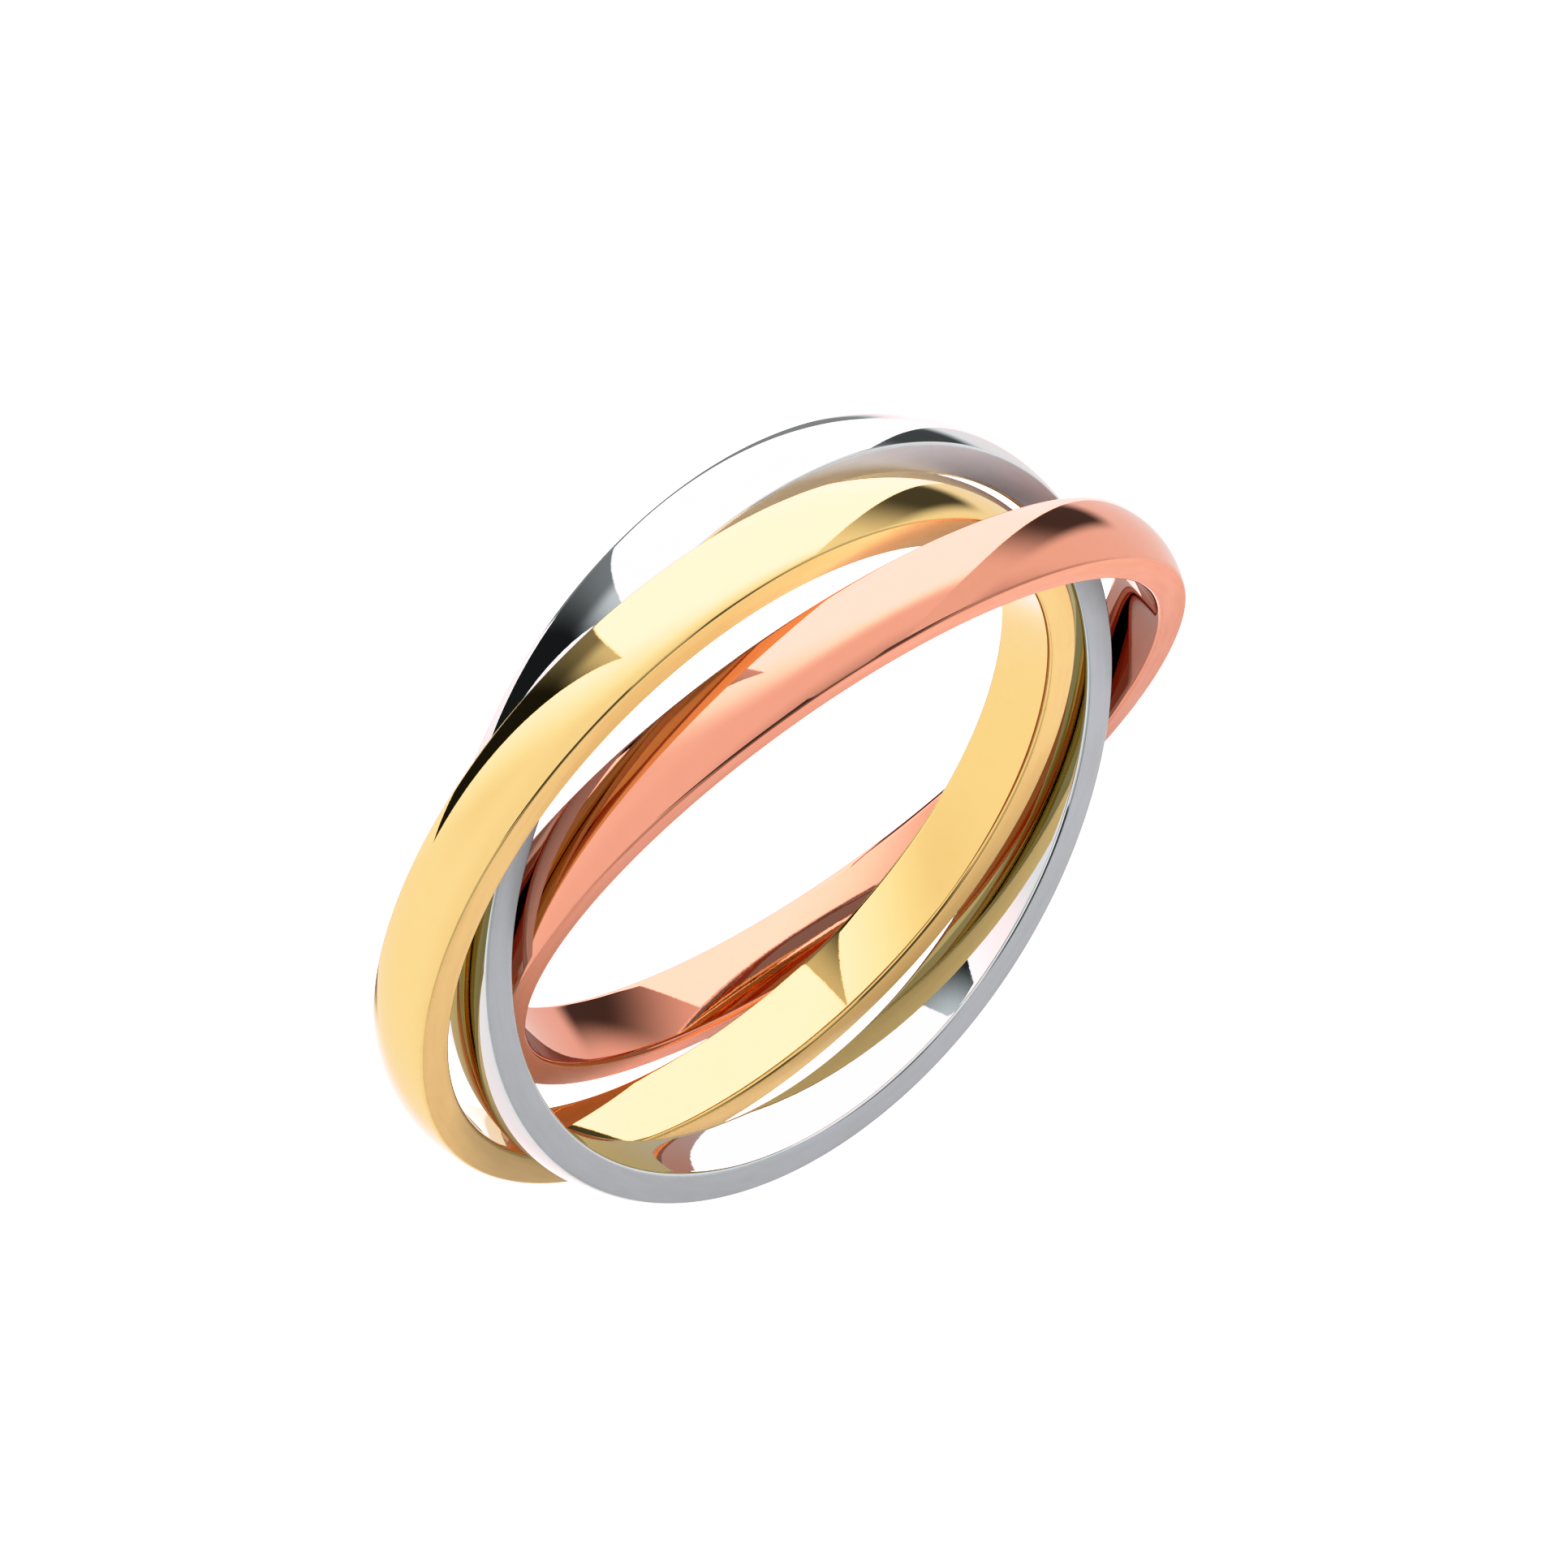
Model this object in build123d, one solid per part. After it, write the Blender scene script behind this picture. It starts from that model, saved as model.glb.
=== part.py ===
from build123d import *
from math import asin, cos, degrees, radians, sin
import os

# Rolling ring: three equal D-section bands, each linked through the other two.
# The set lies on its side on the plane Z = 0, fanned out about the X axis.
# Sizes are in millimetres and angles in degrees.

# Driving sizes of one band
inner_diameter = 17.4      # finger size, across the crest of the inside
band_width = 1.8           # from side wall to side wall
side_wall = 0.76           # thickness at the flat side walls
dome_height = 0.2          # rise of the outside over its two edges
inner_swell = 0.05         # rise of the inside over its two edges, for an easy fit
outer_easing = 0.1         # radius along the two outside edges
inner_easing = 0.11        # radius along the two inside edges

# Driving sizes of the set
clearance = 0.1            # play between two bands where one passes inside the other
white_parting = 54.8       # angle round from the crossing where white leaves yellow's side
rose_parting = 51.0        # the same for rose and yellow
yellow_drop = 0.11         # how far yellow hangs under the level of the other two
side_shift = 0.05          # how far rose and white stand off to either side

inner_radius = inner_diameter / 2
half_width = band_width / 2
edge_radius = inner_radius + inner_swell
side_radius = edge_radius + side_wall
crown_radius = side_radius + dome_height
wall_radius = edge_radius + side_wall / 2


def fan_angle(parting):
    """Angle between two bands whose side walls part at the given angle round the ring."""
    return degrees(asin(band_width / (wall_radius * sin(radians(parting)))))


# Angles of the fan: yellow lies level, white and rose lean to either side of it
white_fan = fan_angle(white_parting)
rose_fan = -fan_angle(rose_parting)
outer_fan = (white_fan - rose_fan) / 2

# Places along the X axis. Bands of one size link only when they are slid apart:
# by a whole wall where they cross, and by more where they run side by side.
crossing_slide = crown_radius - inner_radius + clearance
parting_slide = (side_radius - inner_radius + clearance) / cos(radians(white_parting))
yellow_x = (2 * parting_slide + crossing_slide) / 3
white_x = yellow_x - parting_slide
rose_x = white_x - crossing_slide

# The set rests on the low edges of rose and white and tips until its middle is over them
rest_pitch = -degrees(asin((white_x + rose_x) / 2 * sin(radians(outer_fan)) / side_radius))


def band_section():
    """D section of a band: sides flat, outside domed, inside slightly swelled, edges eased."""
    with BuildSketch(Plane.XZ) as section:
        with BuildLine():
            Line((side_radius, half_width), (edge_radius, half_width))
            ThreePointArc(
                (edge_radius, half_width),
                (inner_radius, 0),
                (edge_radius, -half_width),
            )
            Line((edge_radius, -half_width), (side_radius, -half_width))
            ThreePointArc(
                (side_radius, -half_width),
                (crown_radius, 0),
                (side_radius, half_width),
            )
        make_face()
        inside = section.vertices().group_by(Axis.X)[0]
        fillet(inside, inner_easing)
        outside = section.vertices().group_by(Axis.X)[-1]
        fillet(outside, outer_easing)
    return section.sketch


def band(fan):
    """One band turned to its place in the fan, with its middle on the origin."""
    ring = revolve(band_section(), Axis.Z)
    return Rot(0, rest_pitch, 0) * Rot(fan, 0, 0) * ring


def standing(shape):
    """The shape raised or lowered until it just touches the plane Z = 0."""
    return Pos(0, 0, -shape.bounding_box().min.Z) * shape


def middle_height(shape):
    return shape.bounding_box().center().Z


white_gold_band = Pos(white_x, side_shift, 0) * standing(band(white_fan))
rose_gold_band = Pos(rose_x, -side_shift, 0) * standing(band(rose_fan))
outer_level = (middle_height(white_gold_band) + middle_height(rose_gold_band)) / 2
yellow_gold_band = Pos(yellow_x, 0, outer_level - yellow_drop) * band(0)

bands = {
    "yellow_gold_band": yellow_gold_band,
    "rose_gold_band": rose_gold_band,
    "white_gold_band": white_gold_band,
}

# The origin is under the middle of the whole set, on the plane it lies on
middle = Compound(list(bands.values())).bounding_box().center()

os.makedirs("parts", exist_ok=True)
for name, shape in bands.items():
    placed = Pos(-middle.X, -middle.Y, 0) * shape
    export_step(placed, f"parts/{name}.step")
    centre = placed.center(CenterOf.BOUNDING_BOX)
    print(name, "centre", [round(value, 4) for value in centre], "volume", round(placed.volume, 3))
print("fan angles", round(white_fan, 3), round(rose_fan, 3), "pitch", round(rest_pitch, 3))
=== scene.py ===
from math import asin, cos, pi, radians, sin, tan

import bmesh
import bpy
import numpy as np
from bpy.props import FloatProperty, FloatVectorProperty, IntProperty, PointerProperty
from mathutils import Matrix, Vector


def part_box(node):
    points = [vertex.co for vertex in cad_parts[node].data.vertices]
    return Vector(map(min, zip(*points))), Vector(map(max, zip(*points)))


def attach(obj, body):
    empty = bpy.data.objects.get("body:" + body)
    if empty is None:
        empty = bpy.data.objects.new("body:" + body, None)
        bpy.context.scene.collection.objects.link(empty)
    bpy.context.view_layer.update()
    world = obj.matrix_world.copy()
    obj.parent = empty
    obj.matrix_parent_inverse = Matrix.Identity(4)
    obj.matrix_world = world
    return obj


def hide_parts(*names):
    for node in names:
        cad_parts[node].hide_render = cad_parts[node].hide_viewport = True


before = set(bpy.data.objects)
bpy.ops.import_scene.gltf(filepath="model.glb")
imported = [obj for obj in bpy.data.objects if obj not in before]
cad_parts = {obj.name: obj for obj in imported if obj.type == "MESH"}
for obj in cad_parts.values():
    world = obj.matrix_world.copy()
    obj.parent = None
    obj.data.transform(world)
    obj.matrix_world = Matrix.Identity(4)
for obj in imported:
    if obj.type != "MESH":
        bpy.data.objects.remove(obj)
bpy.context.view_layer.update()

bl_info = {
    "name": "Rolling ring",
    "version": (1, 0, 0),
    "blender": (4, 5, 0),
    "location": "3D View > Sidebar > Rolling ring",
    "description": "Three linked bands of polished gold on a white studio floor",
    "category": "Object",
}

MM = 0.001
BANDS = ("yellow_gold", "rose_gold", "white_gold")

# How closely a face of a CAD band looks along the axis to count as its side wall
WALL_FACING = 0.998
# Vertices nearer than this are one, in millimetres
MERGE = 1e-4
EASING_STEPS = 5
CREASE_WEIGHT = 60

# Places on a band's section, in millimetres
WALL_MARGIN, WALL_BLEND = 0.012, 0.01
INSIDE_MARGIN, INSIDE_BLEND = 0.06, 0.08
WORN_NONE, WORN_FULL = 0.16, 0.03

# Finish that a user wouldn't change
WHITE_WALL_SHEEN = 0.3
# Painted shade inside the bands: the colour there is multiplied by this
INSIDE_SHADE_LEVEL = 0.96
DULLED = (0.93, 0.91, 0.88, 1)

# Stage
WHITE = (1, 1, 1, 1)
FLOOR_RADIUS, FLOOR_SIDES = 1.5, 96
SENSOR = 36
NEAREST, FARTHEST = 0.01, 10
MIRROR_BOUNCES = 6
# A cloth's edge is this soft, as a share of the way round
CLOTH_EDGE = 0.02
# Ray depth that only light passed on by a second band has
SECOND_BAND, SECOND_BAND_BLEND = 2.5, 0.5

# Light that is shown as full white, and how light up to it is shown: a soft shoulder
TOP_LEVEL = 2.6
RED_SHOULDER = ((0.5, 0.5), (0.85, 0.84), (1.0, 0.95), (1.15, 0.985), (1.6, 0.998))
SHOULDER = ((0.26, 0.26), (0.5, 0.49), (0.75, 0.70), (1.07, 0.81), (1.56, 0.90), (1.86, 0.965))


# Shader maths

class Link:
    """One output of a shader node, on which ordinary maths adds Math nodes."""

    def __init__(self, shader, socket):
        self.shader = shader
        self.socket = socket

    def math(self, operation, *values):
        sockets = dict(enumerate((self, *values)))
        return self.shader.node("Math", {"operation": operation}, sockets)

    def of(self, value):
        """A plain number as a link, for the reflected forms."""
        return self.shader.node("Value", {}, {}).holding(value)

    def holding(self, value):
        self.socket.default_value = value
        return self

    def __add__(self, other):
        return self.math("ADD", other)

    def __sub__(self, other):
        return self.math("SUBTRACT", other)

    def __mul__(self, other):
        return self.math("MULTIPLY", other)

    def __truediv__(self, other):
        return self.math("DIVIDE", other)

    def __rsub__(self, other):
        return self.of(other) - self

    def __rtruediv__(self, other):
        return self.of(other) / self

    __radd__ = __add__
    __rmul__ = __mul__

    def above(self, level, soft):
        """0 below the level and 1 above it, over a width. A negative width turns it round."""
        return self.fade(level - soft / 2, level + soft / 2)

    def fade(self, start, end):
        """Goes from 0 at start to 1 at end, and start may be the larger."""
        sockets = {"Value": self, "From Min": start, "From Max": end}
        return self.shader.node("MapRange", {"interpolation_type": "SMOOTHSTEP"}, sockets)

    def toward(self, other, share):
        """This number, moved to the other one by a share from 0 to 1."""
        return self + (other - self) * share


class Shader:
    """A node tree that is filled by one method."""

    def __init__(self, owner):
        owner.use_nodes = True
        self.tree = owner.node_tree
        self.tree.nodes.clear()

    def node(self, kind, settings=None, sockets=None, out=0):
        """Adds a node: its settings come first, then the values or links of its sockets."""
        node = self.tree.nodes.new("ShaderNode" + kind)
        for name, value in (settings or {}).items():
            setattr(node, name, value)
        for name, value in (sockets or {}).items():
            if isinstance(value, Link):
                self.tree.links.new(value.socket, node.inputs[name])
            else:
                node.inputs[name].default_value = value
        return Link(self, node.outputs[out]) if node.outputs else None

    def along(self, vector, direction):
        """How far a vector reaches along a direction."""
        sockets = {0: vector, 1: direction}
        return self.node("VectorMath", {"operation": "DOT_PRODUCT"}, sockets, "Value")

    def vector(self, x, y, z):
        return self.node("CombineXYZ", {}, {"X": x, "Y": y, "Z": z})

    def noise(self, vector, scale, detail=2.0, roughness=0.5, w=None):
        settings = {"noise_dimensions": "3D" if w is None else "4D"}
        sockets = {"Vector": vector, "Scale": scale, "Detail": detail, "Roughness": roughness}
        if w is not None:
            sockets["W"] = w
        return self.node("TexNoise", settings, sockets)

    def tint(self, first, second, share, blend="MIX"):
        """A colour between two, by a share from 0 to 1."""
        settings = {"data_type": "RGBA", "blend_type": blend}
        return self.node("Mix", settings, {0: share, 6: first, 7: second}, 2)


def towards(azimuth, elevation):
    """Unit vector to an azimuth and elevation in degrees. Azimuth 0 is -Y and 90 is +X."""
    a, e = radians(azimuth), radians(elevation)
    return Vector((sin(a) * cos(e), -cos(a) * cos(e), sin(e)))


# What a user would change

class RingSizes(bpy.types.PropertyGroup):
    """Sizes of a band's section that the CAD box doesn't give."""

    dome_height: FloatProperty(
        name="Dome height", description="Rise of the outside over its two edges",
        default=0.2 * MM, subtype="DISTANCE", unit="LENGTH", precision=5)
    inner_swell: FloatProperty(
        name="Inner swell", description="Rise of the inside over its two edges",
        default=0.05 * MM, subtype="DISTANCE", unit="LENGTH", precision=5)
    outer_easing: FloatProperty(
        name="Outer easing", description="Radius along the two outside edges",
        default=0.1 * MM, subtype="DISTANCE", unit="LENGTH", precision=5)
    inner_easing: FloatProperty(
        name="Inner easing", description="Radius along the two inside edges",
        default=0.11 * MM, subtype="DISTANCE", unit="LENGTH", precision=5)
    steps_round: IntProperty(
        name="Steps round", description="Faces round a band", default=360, min=90)
    dome_steps: IntProperty(
        name="Steps over the dome", description="Faces across the outside", default=24, min=4)


class GoldFinish(bpy.types.PropertyGroup):
    """Colours and polish of the three golds, with painted shade in the darker colours of their
    side walls and insides.
    """

    yellow_gold: FloatVectorProperty(
        name="Yellow gold", description="Colour of the polished yellow band",
        subtype="COLOR", default=(1.0, 0.70, 0.262), min=0, max=1)
    # Painted shade: a darker copy of the yellow gold, for the satin side walls
    yellow_gold_wall: FloatVectorProperty(
        name="Yellow gold walls", description="Colour of the yellow band's satin side walls",
        subtype="COLOR", default=(0.98, 0.62, 0.22), min=0, max=1)
    rose_gold: FloatVectorProperty(
        name="Rose gold", description="Colour of the polished rose band",
        subtype="COLOR", default=(0.94, 0.38, 0.25), min=0, max=1)
    # Painted shade: a darker copy of the rose gold, for the satin side walls
    rose_gold_wall: FloatVectorProperty(
        name="Rose gold walls", description="Colour of the rose band's satin side walls",
        subtype="COLOR", default=(0.80, 0.265, 0.148), min=0, max=1)
    white_gold: FloatVectorProperty(
        name="White gold", description="Colour of the polished, rhodium-plated white band",
        subtype="COLOR", default=(0.79, 0.872, 0.90), min=0, max=1)
    # Painted shade: a darker copy of the white gold, for the satin side walls
    white_gold_wall: FloatVectorProperty(
        name="White gold walls", description="Colour of the white band's satin side walls",
        subtype="COLOR", default=(0.432, 0.45, 0.482), min=0, max=1)
    polish: FloatProperty(
        name="Polish", description="Roughness of the polished dome and inside",
        default=0.02, min=0, max=1)
    satin: FloatProperty(
        name="Satin", description="Roughness of the flat side walls",
        default=0.34, min=0, max=1)
    satin_sheen: FloatProperty(
        name="Satin sheen", description="How much of the side walls' light is mirrored",
        default=0.25, min=0, max=1)
    # Painted shade: how much darker and more saturated the insides of the bands are painted
    inside_shade: FloatProperty(
        name="Depth inside", description="How much deeper the colour of the insides is",
        default=0.13, min=0, max=1)
    waviness: FloatProperty(
        name="Waviness", description="Height of the soft waves that polishing leaves",
        default=0.002 * MM, subtype="DISTANCE", unit="LENGTH", precision=6)
    ripple: FloatProperty(
        name="Ripple", description="Height of the fine ripple in the polish",
        default=0.00025 * MM, subtype="DISTANCE", unit="LENGTH", precision=6)
    grain: FloatProperty(
        name="Grain", description="Depth of the fine lines that run round the walls",
        default=0.0008 * MM, subtype="DISTANCE", unit="LENGTH", precision=6)


class Studio(bpy.types.PropertyGroup):
    """Light levels of the studio and the place of the camera."""

    white: FloatProperty(
        name="White", description="Level of the backdrop", default=3.2, min=0)
    table: FloatProperty(
        name="Light table", description="Level of the light that the floor gives",
        default=2.4, min=0)
    fill: FloatProperty(
        name="Fill", description="Level of the even light on satin metal and the floor",
        default=0.56, min=0)
    softbox: FloatProperty(
        name="Softbox", description="Power of the lamp over the band walls, in watts",
        default=0.0054, min=0)
    softbox_size: FloatProperty(
        name="Softbox size", description="Width of the lamp", default=14 * MM,
        subtype="DISTANCE", unit="LENGTH")
    softbox_place: FloatVectorProperty(
        name="Softbox place", description="Where the lamp hangs", subtype="XYZ",
        default=(-3.5 * MM, -15 * MM, 24 * MM), unit="LENGTH", precision=4)
    panel: FloatProperty(
        name="Panel", description="Level of the large soft panel", default=2.6, min=0)
    room: FloatProperty(
        name="Room", description="Level of the surroundings low down", default=1.1, min=0)
    sky: FloatProperty(
        name="Overhead", description="Level of the surroundings overhead", default=0.5, min=0)
    between: FloatProperty(
        name="Between the bands", description="Share of the studio that two bands mirror",
        default=0.14, min=0, max=1)
    lens: FloatProperty(
        name="Lens", description="Focal length in mm on a 36 mm sensor", default=149.216)
    azimuth: FloatProperty(
        name="Azimuth", description="Where the camera stands, in degrees", default=41.4254)
    elevation: FloatProperty(
        name="Elevation", description="How high the camera stands, in degrees",
        default=27.5162)
    roll: FloatProperty(
        name="Roll", description="How far the camera is rolled, in degrees",
        default=132.9547)
    distance: FloatProperty(
        name="Distance", description="From the aim to the camera",
        default=147.76 * MM, subtype="DISTANCE", unit="LENGTH")
    aim: FloatVectorProperty(
        name="Aim", description="Point that the camera looks at", subtype="XYZ",
        default=(-0.3256 * MM, -0.5896 * MM, 2.8449 * MM), unit="LENGTH", precision=6)


# Bands

def measure_band(node):
    """Centre, axis, inner radius, crown radius and half width of a CAD band."""
    low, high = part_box(node.name)
    centre = (low + high) / 2
    points = np.array([node.matrix_world @ v.co for v in node.data.vertices]) - centre
    rough = Vector(np.linalg.svd(points, full_matrices=False)[2][-1])
    walls = Vector()
    for face in node.data.polygons:
        if abs(face.normal @ rough) > WALL_FACING:
            walls += face.normal * face.area * (1 if face.normal @ rough > 0 else -1)
    axis = walls.normalized()
    if axis.z < 0:
        axis.negate()
    height = points @ np.array(axis)
    radius = np.sqrt((points ** 2).sum(1) - height ** 2)
    return centre, axis, radius.min(), radius.max(), np.abs(height).max()


def arc(bm, start, middle, angle, steps):
    """A row of vertices from start, turned in the XZ plane about the middle."""
    first = bm.verts.new(start)
    made = bmesh.ops.spin(
        bm, geom=[first], cent=middle, axis=(0, 1, 0), angle=angle, steps=steps,
        use_merge=False, use_duplicate=False)
    last = [v for v in made["geom_last"] if isinstance(v, bmesh.types.BMVert)][0]
    return first, last


def ease(bm, corners, radius, turn):
    """Rounds corners where the outline turns by the given angle."""
    bmesh.ops.bevel(
        bm, geom=corners, offset=radius * tan(turn / 2), offset_type="OFFSET",
        segments=EASING_STEPS, profile=0.5, affect="VERTICES", material=-1)


def band_mesh(name, sizes, inner, crown, half):
    """A band about the Z axis, in millimetres: a D section turned all the way round."""
    dome, swell = sizes.dome_height / MM, sizes.inner_swell / MM
    side, edge = crown - dome, inner + swell
    dome_radius = (half ** 2 + dome ** 2) / (2 * dome)
    swell_radius = (half ** 2 + swell ** 2) / (2 * swell)
    dome_turn, swell_turn = asin(half / dome_radius), asin(half / swell_radius)
    bm = bmesh.new()
    low, high = arc(
        bm, (side, 0, -half), (crown - dome_radius, 0, 0), -2 * dome_turn, sizes.dome_steps)
    top, foot = arc(
        bm, (edge, 0, half), (inner + swell_radius, 0, 0), -2 * swell_turn,
        sizes.dome_steps // 2)
    bm.edges.new((high, top))
    bm.edges.new((foot, low))
    bmesh.ops.contextual_create(bm, geom=bm.edges[:])
    bm.verts.ensure_lookup_table()
    ease(bm, [low, high], sizes.outer_easing / MM, pi / 2 - dome_turn)
    inside = [
        v for v in bm.verts
        if abs(v.co.x - edge) < MERGE and abs(abs(v.co.z) - half) < MERGE]
    ease(bm, inside, sizes.inner_easing / MM, pi / 2 - swell_turn)
    bmesh.ops.delete(bm, geom=bm.faces[:], context="FACES_ONLY")
    bmesh.ops.spin(
        bm, geom=bm.verts[:] + bm.edges[:], cent=(0, 0, 0), axis=(0, 0, 1), angle=2 * pi,
        steps=sizes.steps_round, use_merge=True, use_duplicate=False)
    bmesh.ops.remove_doubles(bm, verts=bm.verts[:], dist=MERGE)
    bmesh.ops.recalc_face_normals(bm, faces=bm.faces[:])
    for face in bm.faces:
        face.smooth = True
    mesh = bpy.data.meshes.new(name)
    bm.to_mesh(mesh)
    bm.free()
    return mesh


def gold_material(gold, finish, place, inner, crown, half, sizes):
    """Polished gold with satin side walls, soft polishing waves and worn edges, and painted
    shade: darker colour on the side walls and insides.
    """
    material = bpy.data.materials.new(gold)
    s = Shader(material)
    coordinates = s.node("TexCoord", {}, {}, "Object")
    own = s.node(
        "Mapping", {"vector_type": "TEXTURE"},
        {"Vector": coordinates, "Location": place.to_translation(),
         "Rotation": place.to_euler(), "Scale": (MM, MM, MM)})
    parts = s.node("SeparateXYZ", {}, {"Vector": own}).socket.node.outputs
    x, y, z = (Link(s, parts[i]) for i in range(3))
    radius = (x * x + y * y).math("SQRT")
    height = z.math("ABSOLUTE")

    def round_noise(scale, around, detail):
        """Noise on the section that turns with the band, with longer or shorter grains."""
        section = s.vector(radius, z, x / radius * around)
        return s.noise(section, scale, detail, 0.6, y / radius * around)

    lines = round_noise(14.0, 0.6, 2.0)
    streaks = round_noise(4.0, 1.2, 2.0)
    scuffs = round_noise(3.0, 8.0, 3.0)
    waves = s.noise(own, 0.55, 1.0)
    ripple = s.noise(own, 7.0, 2.0)
    # Places on the section
    side, edge = crown - sizes.dome_height / MM, inner + sizes.inner_swell / MM
    wall = height.above(half - WALL_MARGIN, WALL_BLEND)
    inside = radius.above(edge + INSIDE_MARGIN, -INSIDE_BLEND)
    beside = (height - half) * (height - half)
    outer_corner = (radius - side) * (radius - side) + beside
    inner_corner = (radius - edge) * (radius - edge) + beside
    corner = outer_corner.math("MINIMUM", inner_corner).math("SQRT")
    worn = corner.fade(WORN_NONE, WORN_FULL) * scuffs.fade(0.45, 0.65)
    # Finish
    roughness = finish.polish + lines.fade(0.4, 0.75) * 0.01 + worn * 0.03
    roughness = roughness.toward(finish.satin + streaks.fade(0.3, 0.7) * 0.08, wall)
    sheen = finish.satin_sheen * (WHITE_WALL_SHEEN if gold == "white_gold" else 1)
    metallic = 1 - wall * (1 - sheen)
    level = waves * finish.waviness + ripple * finish.ripple
    level = level + lines * finish.grain * wall
    normal = s.node("Bump", {}, {"Height": level, "Strength": 1.0, "Distance": 1.0})
    polished = tuple(getattr(finish, gold)) + (1,)
    # Painted shade: the insides are painted darker and more saturated than the polished gold
    deeper = tuple(INSIDE_SHADE_LEVEL - INSIDE_SHADE_LEVEL * finish.inside_shade * (1 - part) for part in polished)
    base = s.tint(polished, deeper, inside, "MULTIPLY")
    # Painted shade: the side walls take a darker copy of their gold, on top of their satin finish
    base = s.tint(base, tuple(getattr(finish, gold + "_wall")) + (1,), wall)
    shade = scuffs.fade(0.4, 0.8) * 0.3 + worn * 0.4 + streaks.fade(0.35, 0.7) * wall * 0.8
    base = s.tint(base, DULLED, shade, "MULTIPLY")
    metal = s.node(
        "BsdfPrincipled", {},
        {"Base Color": base, "Metallic": metallic, "Roughness": roughness, "Normal": normal})
    s.node("OutputMaterial", {}, {"Surface": metal})
    return material


class RING_OT_bands(bpy.types.Operator):
    """Makes the three linked bands where the CAD has them"""

    bl_idname = "ring.bands"
    bl_label = "Make the bands"

    def execute(self, context):
        sizes, finish = context.scene.ring_sizes, context.scene.ring_finish
        for gold in BANDS:
            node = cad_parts[gold + "_band"]
            centre, axis, inner, crown, half = measure_band(node)
            turn = Vector((0, 0, 1)).rotation_difference(axis)
            place = Matrix.Translation(centre) @ turn.to_matrix().to_4x4()
            inner, crown, half = (round(v / MM, 2) for v in (inner, crown, half))
            mesh = band_mesh(gold + "_ring", sizes, inner, crown, half)
            mesh.transform(place @ Matrix.Scale(MM, 4))
            ring = bpy.data.objects.new(gold + "_ring", mesh)
            context.scene.collection.objects.link(ring)
            even = ring.modifiers.new("even_shading", "WEIGHTED_NORMAL")
            even.mode, even.weight = "FACE_AREA", CREASE_WEIGHT
            mesh.materials.append(
                gold_material(gold, finish, place, inner, crown, half, sizes))
            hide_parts(gold + "_band")
            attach(ring, gold.replace("_gold", "_band"))
        return {"FINISHED"}


# Stage

def studio_world(look):
    """White for the backdrop and floor, and panels and flags for what the metal reflects."""
    world = bpy.data.worlds.new("studio")
    s = Shader(world)
    world.cycles.sampling_method = "NONE"
    way = s.node("TexCoord", {}, {}, "Generated")
    rise = s.along(way, Vector((0, 0, 1)))

    def angle(direction):
        """Angle in degrees between the way of a ray and a direction."""
        return s.along(way, direction).math("ARCCOSINE") * (180 / pi)

    def beyond(azimuth):
        """1 on the side of the studio that faces an azimuth, and 0 on the other."""
        return s.along(way, towards(azimuth, 0)).above(0, CLOTH_EDGE)

    level = look.room - rise.fade(-0.25, 0.15) * 0.12
    level = level.toward(look.sky, rise.fade(0.45, 0.8))
    # The large panel in front, with its top edge at eye level, and a glow behind
    panel = angle(towards(-27, -43)).fade(83, 40) * rise.fade(0.3, 0.03)
    level = level.toward(look.panel, panel)
    glow = angle(towards(-142, -28)).fade(46, 6)
    level = level + glow * glow * 1.8
    level = level - angle(towards(70, -32)).fade(35, 5) * 0.12
    # Dark cloth low down behind, which draws a fine line along the far outlines
    level = level.toward(0.25, beyond(-88) * beyond(172) * rise.above(-0.63, -0.1))
    # A black flag low on the camera's side, with grey light along its nearer end
    end = angle(towards(126.5, 1.4))
    low = angle(towards(93.3, 12.7))
    back = s.along(way, towards(-159.3, 5.3))
    flag = end.above(99.1, -0.6) * low.above(70.6, 0.6) * (1 - back.above(0, 0.01))
    spill = end.fade(84, 99) * (0.2 + rise.fade(-0.85, -0.62) * 0.45)
    level = level.toward(spill + 0.01, flag)
    # A round grey screen with a black rim, which fades along its length
    screen = angle(towards(-97, 36))
    disc = screen.above(67, -0.6)
    level = level.toward(0.93 - rise.fade(0.25, 0.75) * 0.45, disc)
    rim = disc * screen.above(50, 9) * s.along(way, towards(4, 0)).above(-0.03, 0.16)
    level = level.toward(0.06 + angle(towards(-74, -20)).fade(8, 47) * 0.85, rim)
    # Black cloths overhead, over the camera and over the panel
    over = s.along(way, towards(-147.9, 49.8))
    right = beyond(120) * (1 - beyond(176))
    left = beyond(52) * (1 - beyond(90))
    level = level.toward(0.03, right * over.above(0, CLOTH_EDGE))
    level = level.toward(0.06, left * rise.above(0.66, 0.04))
    level = level.toward(0.16, rise.fade(0.86, 0.96))
    path = s.node("LightPath").socket.node.outputs
    seen, mirrored = Link(s, path["Is Camera Ray"]), Link(s, path["Is Glossy Ray"])
    # Light that a second band passes on is calmer, because little reaches in between them
    twice = Link(s, path["Ray Depth"]).above(SECOND_BAND, SECOND_BAND_BLEND)
    level = level.toward(level * look.between + 0.2, twice)
    level = look.fill + seen * (look.white - look.fill) + mirrored * (level - look.fill)
    light = s.node("Background", {}, {"Color": WHITE, "Strength": level})
    s.node("OutputWorld", {}, {"Surface": light})
    return world


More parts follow.
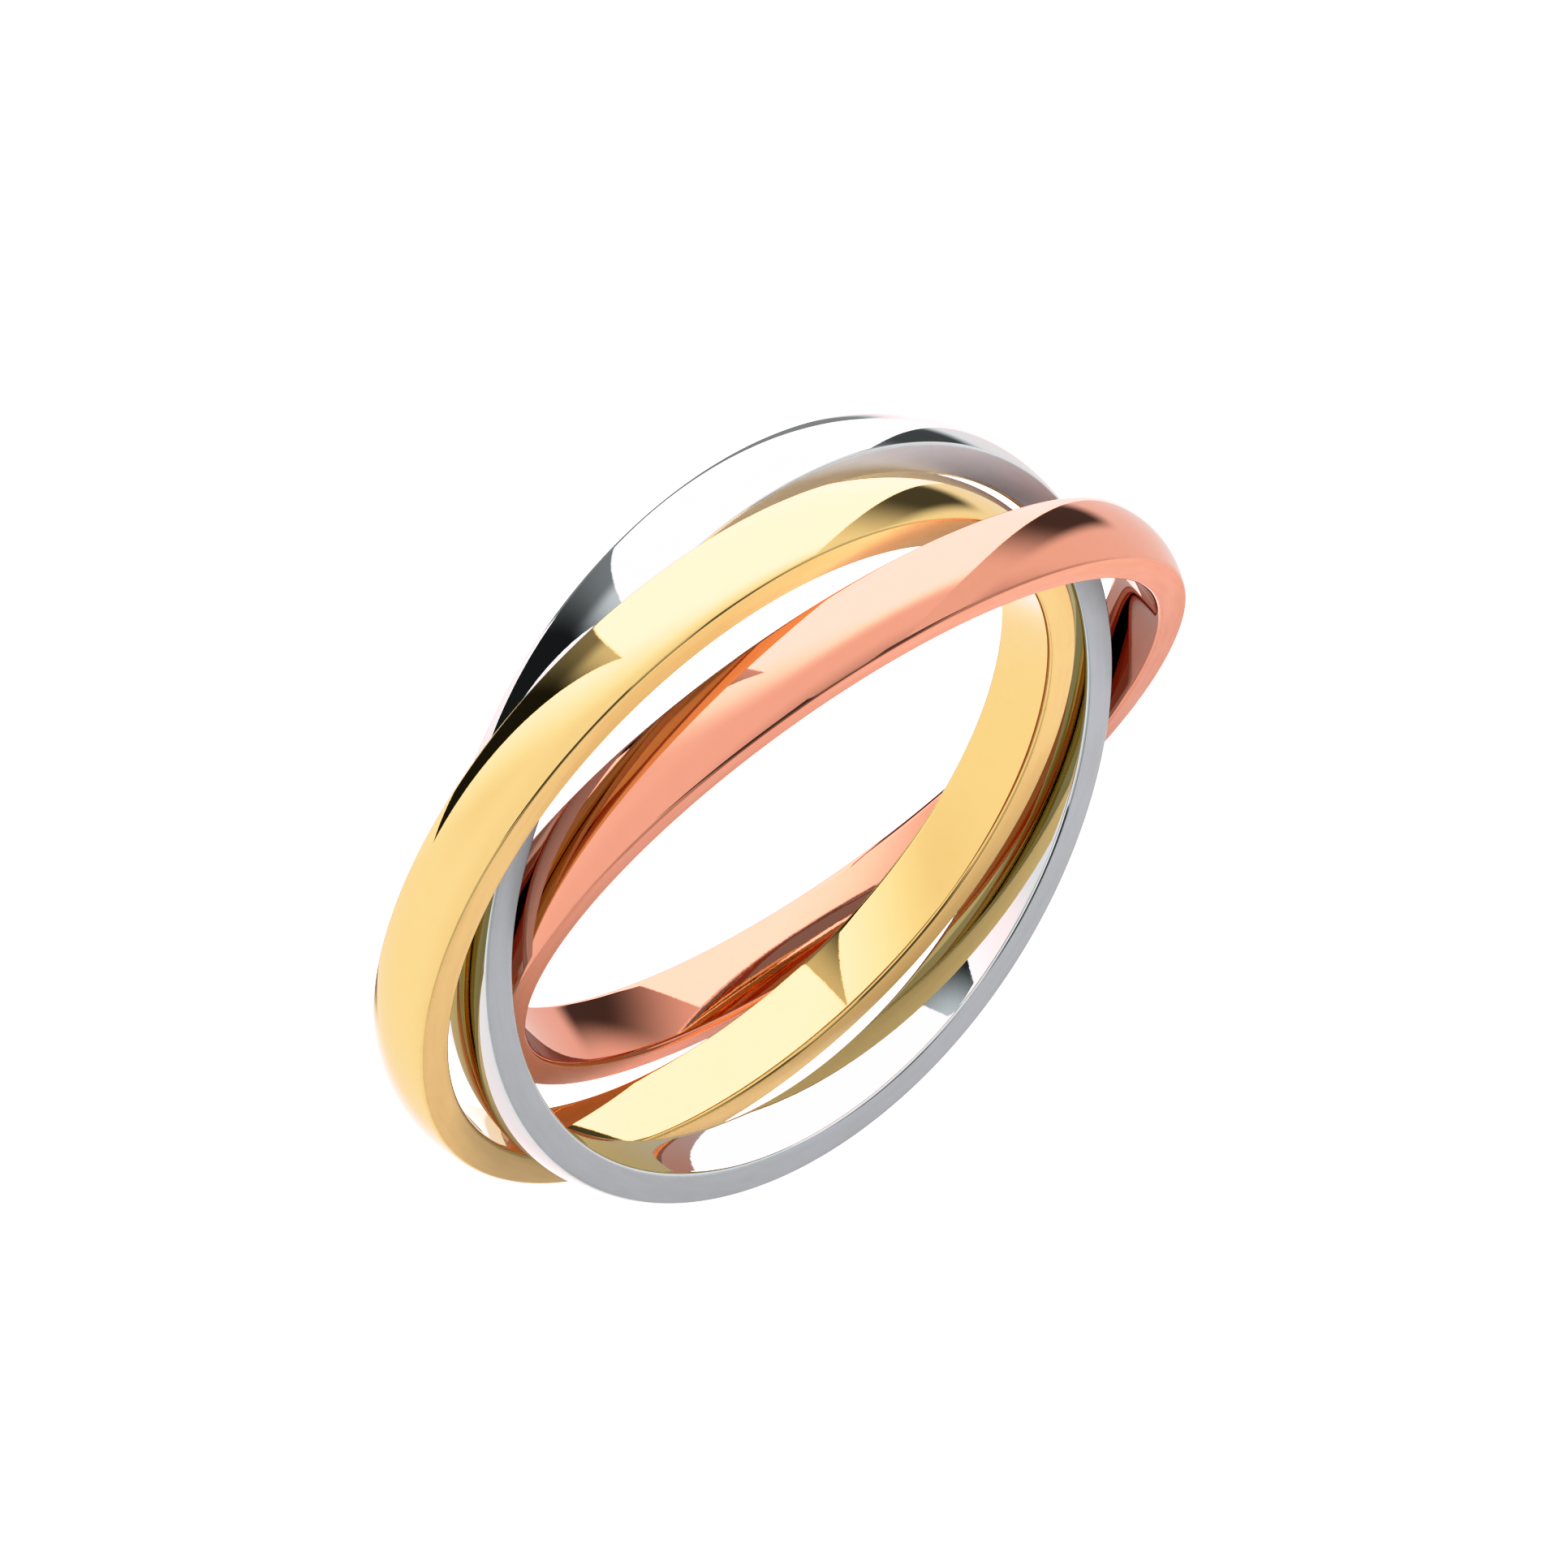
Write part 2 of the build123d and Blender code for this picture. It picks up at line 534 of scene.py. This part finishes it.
def floor_material(look):
    """White opal light table with the slightest mottle."""
    material = bpy.data.materials.new("light_table")
    s = Shader(material)
    coordinates = s.node("TexCoord", {}, {}, "Object")
    mottle = s.noise(coordinates, 180.0, 3.0)
    base = s.tint((0.98, 0.98, 0.98, 1), (0.965, 0.965, 0.967, 1), mottle)
    opal = s.node(
        "BsdfPrincipled", {},
        {"Base Color": base, "Roughness": 0.6, "Specular IOR Level": 0.0,
         "Emission Color": base, "Emission Strength": look.table})
    s.node("OutputMaterial", {}, {"Surface": opal})
    return material


class RING_OT_stage(bpy.types.Operator):
    """Makes the floor, the studio surroundings and the camera"""

    bl_idname = "ring.stage"
    bl_label = "Make the stage"

    def execute(self, context):
        scene, look = context.scene, context.scene.ring_studio
        bm = bmesh.new()
        bmesh.ops.create_circle(
            bm, cap_ends=True, segments=FLOOR_SIDES, radius=FLOOR_RADIUS)
        mesh = bpy.data.meshes.new("floor")
        bm.to_mesh(mesh)
        bm.free()
        mesh.materials.append(floor_material(look))
        floor = bpy.data.objects.new("floor", mesh)
        floor.visible_glossy = False
        scene.collection.objects.link(floor)
        scene.world = studio_world(look)
        lamp = bpy.data.lights.new("softbox", "AREA")
        lamp.shape, lamp.size, lamp.energy = "DISK", look.softbox_size, look.softbox
        softbox = bpy.data.objects.new("softbox", lamp)
        place = Vector(look.softbox_place)
        facing = (place - Vector(look.aim)).to_track_quat("Z", "Y").to_matrix().to_4x4()
        softbox.matrix_world = Matrix.Translation(place) @ facing
        softbox.visible_camera = softbox.visible_glossy = False
        scene.collection.objects.link(softbox)
        lens = bpy.data.cameras.new("camera")
        lens.lens, lens.sensor_width = look.lens, SENSOR
        lens.clip_start, lens.clip_end = NEAREST, FARTHEST
        camera = bpy.data.objects.new("camera", lens)
        scene.collection.objects.link(camera)
        back = towards(look.azimuth, look.elevation)
        upright = back.to_track_quat("Z", "Y").to_matrix().to_4x4()
        rolled = upright @ Matrix.Rotation(radians(look.roll), 4, "Z")
        camera.matrix_world = Matrix.Translation(Vector(look.aim) + back * look.distance) @ rolled
        scene.camera = camera
        scene.cycles.caustics_reflective = False
        scene.cycles.glossy_bounces = MIRROR_BOUNCES
        view = scene.view_settings
        view.view_transform, view.look = "Standard", "None"
        view.use_curve_mapping = True
        curves = view.curve_mapping
        curves.white_level = (TOP_LEVEL,) * 3
        curves.extend = "HORIZONTAL"
        for curve, shoulder in zip(curves.curves, (RED_SHOULDER, SHOULDER, SHOULDER)):
            for light, shown in shoulder:
                curve.points.new(light / TOP_LEVEL, shown)
        curves.update()
        return {"FINISHED"}


class RING_PT_panel(bpy.types.Panel):
    """Lists the operators and what they read"""

    bl_label = "Rolling ring"
    bl_idname = "RING_PT_panel"
    bl_space_type = "VIEW_3D"
    bl_region_type = "UI"
    bl_category = "Rolling ring"

    def draw(self, context):
        layout, scene = self.layout, context.scene
        for operator, group in (
            ("ring.bands", scene.ring_sizes),
            ("ring.bands", scene.ring_finish),
            ("ring.stage", scene.ring_studio),
        ):
            box = layout.box()
            for name in group.__annotations__:
                box.prop(group, name)
            box.operator(operator)


CLASSES = (RingSizes, GoldFinish, Studio, RING_OT_bands, RING_OT_stage, RING_PT_panel)


def register():
    for item in CLASSES:
        bpy.utils.register_class(item)
    bpy.types.Scene.ring_sizes = PointerProperty(type=RingSizes)
    bpy.types.Scene.ring_finish = PointerProperty(type=GoldFinish)
    bpy.types.Scene.ring_studio = PointerProperty(type=Studio)


def unregister():
    del bpy.types.Scene.ring_studio
    del bpy.types.Scene.ring_finish
    del bpy.types.Scene.ring_sizes
    for item in reversed(CLASSES):
        bpy.utils.unregister_class(item)


def main():
    register()
    bpy.ops.ring.stage()
    bpy.ops.ring.bands()


if __name__ == "__main__":
    main()
